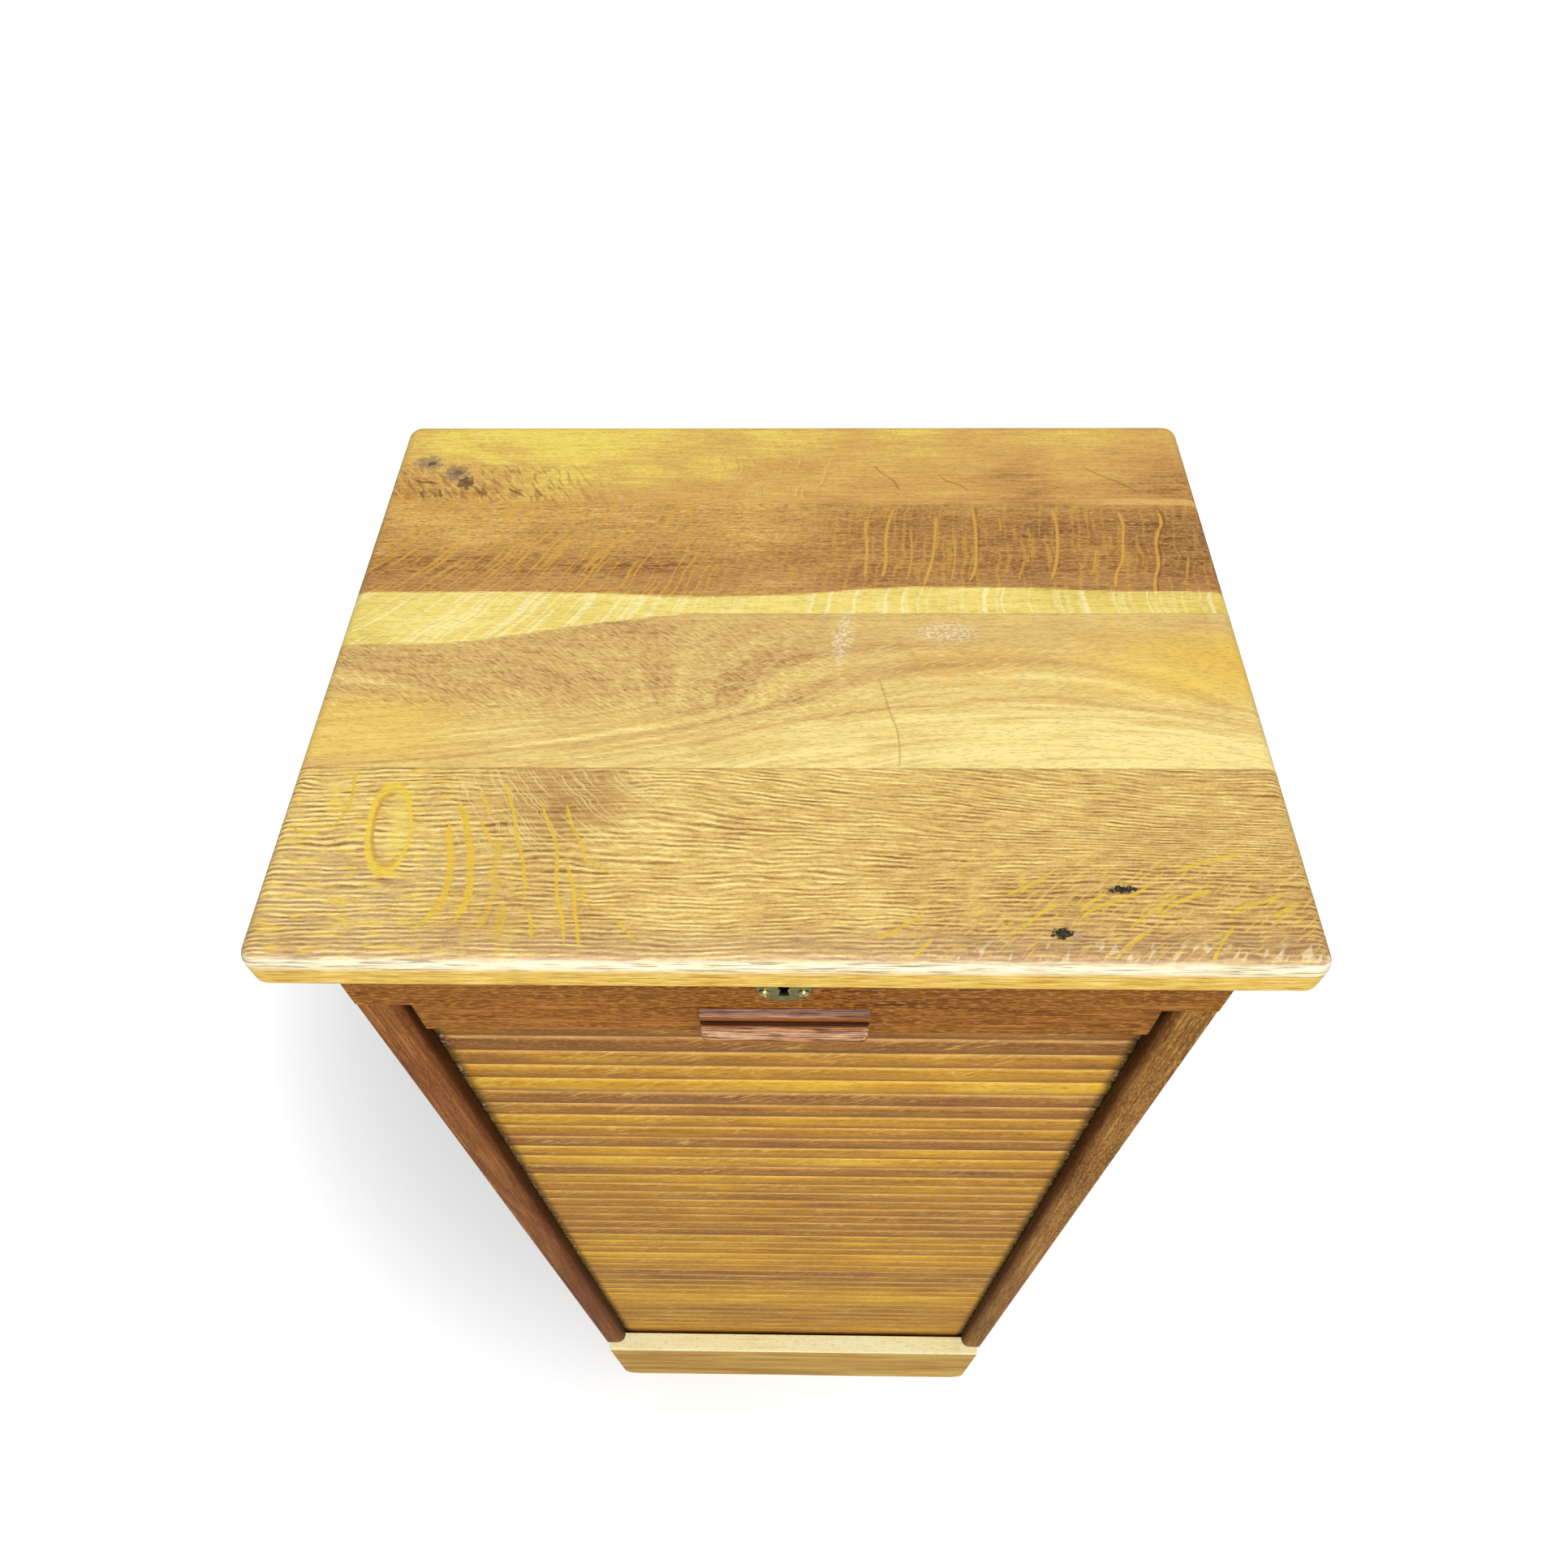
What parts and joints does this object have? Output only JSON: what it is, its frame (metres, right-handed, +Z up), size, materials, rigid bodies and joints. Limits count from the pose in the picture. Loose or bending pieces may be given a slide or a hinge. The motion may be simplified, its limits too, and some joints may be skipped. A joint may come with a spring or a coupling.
{
  "type": "tambour cabinet",
  "caption": "Narrow free-standing wooden cabinet with an overhanging top, a slatted shutter that slides down into the plinth, a frieze lock and a stack of pull-out trays.",
  "frame": {"origin": "on the floor, under the middle of the top board", "axes": "+Z up, the shutter faces -Y, +X to the right of someone facing the shutter"},
  "size_m": [0.46, 0.36, 1.15],
  "materials": {
    "top_oak": "oiled golden oak, worn",
    "frieze_oak": "medium brown oak, satin",
    "stile_oak": "reddish brown stained oak, satin",
    "slat_oak": "golden to grey-brown oak, satin",
    "plinth_oak": "golden oak, satin",
    "pull_oak": "greyish brown oak, worn by hands",
    "inner_wood": "bare pale wood",
    "plywood": "plain plywood, matt",
    "brass": "aged brass",
    "steel": "dull steel"
  },
  "bodies": {
    "carcase": {"top_board": "top_oak", "frieze_rail": "frieze_oak", "side_panel_left": "stile_oak", "side_panel_right": "stile_oak", "plinth_front": "plinth_oak", "plinth_block_left": "inner_wood", "plinth_block_right": "inner_wood", "bottom_stretcher": "inner_wood", "bottom_board": "inner_wood", "false_back": "plywood", "rear_top_rail": "inner_wood", "back_panel": "plywood", "top_cleat_left": "inner_wood", "top_cleat_right": "inner_wood", "tray_guide_left": "inner_wood", "tray_guide_right": "inner_wood", "escutcheon": "brass", "escutcheon_screw_left": "brass", "escutcheon_screw_right": "brass", "lock_case": "steel", "lock_cover": "steel"},
    "bolt": {"lock_bolt": "steel"},
    "lead": {"lead_rail": "frieze_oak", "pull": "pull_oak", "pull_screw_left": "steel", "pull_screw_right": "steel", "strike_plate": "steel"},
    "section_01": {"tambour_section_01": "slat_oak"},
    "section_02": {"tambour_section_02": "slat_oak"},
    "section_03": {"tambour_section_03": "slat_oak"},
    "section_04": {"tambour_section_04": "slat_oak"},
    "section_05": {"tambour_section_05": "slat_oak"},
    "section_06": {"tambour_section_06": "slat_oak"},
    "section_07": {"tambour_section_07": "slat_oak"},
    "section_08": {"tambour_section_08": "slat_oak"},
    "section_09": {"tambour_section_09": "slat_oak"},
    "section_10": {"tambour_section_10": "slat_oak"},
    "section_11": {"tambour_section_11": "slat_oak"},
    "tray_01": {"tray_frame_01": "inner_wood", "tray_floor_01": "plywood"},
    "tray_02": {"tray_frame_02": "inner_wood", "tray_floor_02": "plywood"},
    "tray_03": {"tray_frame_03": "inner_wood", "tray_floor_03": "plywood"},
    "tray_04": {"tray_frame_04": "inner_wood", "tray_floor_04": "plywood"},
    "tray_05": {"tray_frame_05": "inner_wood", "tray_floor_05": "plywood"},
    "tray_06": {"tray_frame_06": "inner_wood", "tray_floor_06": "plywood"},
    "tray_07": {"tray_frame_07": "inner_wood", "tray_floor_07": "plywood"},
    "tray_08": {"tray_frame_08": "inner_wood", "tray_floor_08": "plywood"},
    "tray_09": {"tray_frame_09": "inner_wood", "tray_floor_09": "plywood"},
    "tray_10": {"tray_frame_10": "inner_wood", "tray_floor_10": "plywood"}
  },
  "joints": [
    {"name": "shutter_slide", "type": "slide", "parent": "carcase", "child": "lead", "axis": [0, 0, -1], "range_m": [0, 0.868]},
    {"name": "section_01_slide", "type": "slide", "parent": "carcase", "child": "section_01", "axis": [0, 0, -1], "range_m": [0, 0.8681], "deforming": ["tambour_section_01"]},
    {"name": "section_02_slide", "type": "slide", "parent": "carcase", "child": "section_02", "axis": [0, 0, -1], "range_m": [0, 0.7853], "deforming": ["tambour_section_02"]},
    {"name": "section_03_slide", "type": "slide", "parent": "carcase", "child": "section_03", "axis": [0, 0, -1], "range_m": [0, 0.7025], "deforming": ["tambour_section_03"]},
    {"name": "section_04_slide", "type": "slide", "parent": "carcase", "child": "section_04", "axis": [0, 0, -1], "range_m": [0, 0.6197], "deforming": ["tambour_section_04"]},
    {"name": "section_05_slide", "type": "slide", "parent": "carcase", "child": "section_05", "axis": [0, 0, -1], "range_m": [0, 0.5369], "deforming": ["tambour_section_05"]},
    {"name": "section_06_slide", "type": "slide", "parent": "carcase", "child": "section_06", "axis": [0, 0, -1], "range_m": [0, 0.4541], "deforming": ["tambour_section_06"]},
    {"name": "section_07_slide", "type": "slide", "parent": "carcase", "child": "section_07", "axis": [0, 0, -1], "range_m": [0, 0.3713], "deforming": ["tambour_section_07"]},
    {"name": "section_08_slide", "type": "slide", "parent": "carcase", "child": "section_08", "axis": [0, 0, -1], "range_m": [0, 0.2885], "deforming": ["tambour_section_08"]},
    {"name": "section_09_slide", "type": "slide", "parent": "carcase", "child": "section_09", "axis": [0, 0, -1], "range_m": [0, 0.2057], "deforming": ["tambour_section_09"]},
    {"name": "section_10_slide", "type": "slide", "parent": "carcase", "child": "section_10", "axis": [0, 0, -1], "range_m": [0, 0.1229], "deforming": ["tambour_section_10"]},
    {"name": "section_11_slide", "type": "slide", "parent": "carcase", "child": "section_11", "axis": [0, 0, -1], "range_m": [0, 0.0401], "deforming": ["tambour_section_11"]},
    {"name": "bolt_slide", "type": "slide", "parent": "carcase", "child": "bolt", "axis": [1, 0, 0], "range_m": [0, 0.006]},
    {"name": "tray_01_slide", "type": "slide", "parent": "carcase", "child": "tray_01", "axis": [0, -1, 0], "range_m": [0, 0.22]},
    {"name": "tray_02_slide", "type": "slide", "parent": "carcase", "child": "tray_02", "axis": [0, -1, 0], "range_m": [0, 0.22]},
    {"name": "tray_03_slide", "type": "slide", "parent": "carcase", "child": "tray_03", "axis": [0, -1, 0], "range_m": [0, 0.22]},
    {"name": "tray_04_slide", "type": "slide", "parent": "carcase", "child": "tray_04", "axis": [0, -1, 0], "range_m": [0, 0.22]},
    {"name": "tray_05_slide", "type": "slide", "parent": "carcase", "child": "tray_05", "axis": [0, -1, 0], "range_m": [0, 0.22]},
    {"name": "tray_06_slide", "type": "slide", "parent": "carcase", "child": "tray_06", "axis": [0, -1, 0], "range_m": [0, 0.22]},
    {"name": "tray_07_slide", "type": "slide", "parent": "carcase", "child": "tray_07", "axis": [0, -1, 0], "range_m": [0, 0.22]},
    {"name": "tray_08_slide", "type": "slide", "parent": "carcase", "child": "tray_08", "axis": [0, -1, 0], "range_m": [0, 0.22]},
    {"name": "tray_09_slide", "type": "slide", "parent": "carcase", "child": "tray_09", "axis": [0, -1, 0], "range_m": [0, 0.22]},
    {"name": "tray_10_slide", "type": "slide", "parent": "carcase", "child": "tray_10", "axis": [0, -1, 0], "range_m": [0, 0.22]}
  ],
  "couplings": [
    {"joint": "section_01_slide", "follows": "shutter_slide", "ratio": 1},
    {"joint": "section_02_slide", "follows": "shutter_slide", "ratio": 0.90461},
    {"joint": "section_03_slide", "follows": "shutter_slide", "ratio": 0.80922},
    {"joint": "section_04_slide", "follows": "shutter_slide", "ratio": 0.71383},
    {"joint": "section_05_slide", "follows": "shutter_slide", "ratio": 0.61843},
    {"joint": "section_06_slide", "follows": "shutter_slide", "ratio": 0.52304},
    {"joint": "section_07_slide", "follows": "shutter_slide", "ratio": 0.42765},
    {"joint": "section_08_slide", "follows": "shutter_slide", "ratio": 0.33226},
    {"joint": "section_09_slide", "follows": "shutter_slide", "ratio": 0.23687},
    {"joint": "section_10_slide", "follows": "shutter_slide", "ratio": 0.14147},
    {"joint": "section_11_slide", "follows": "shutter_slide", "ratio": 0.046083}
  ]
}
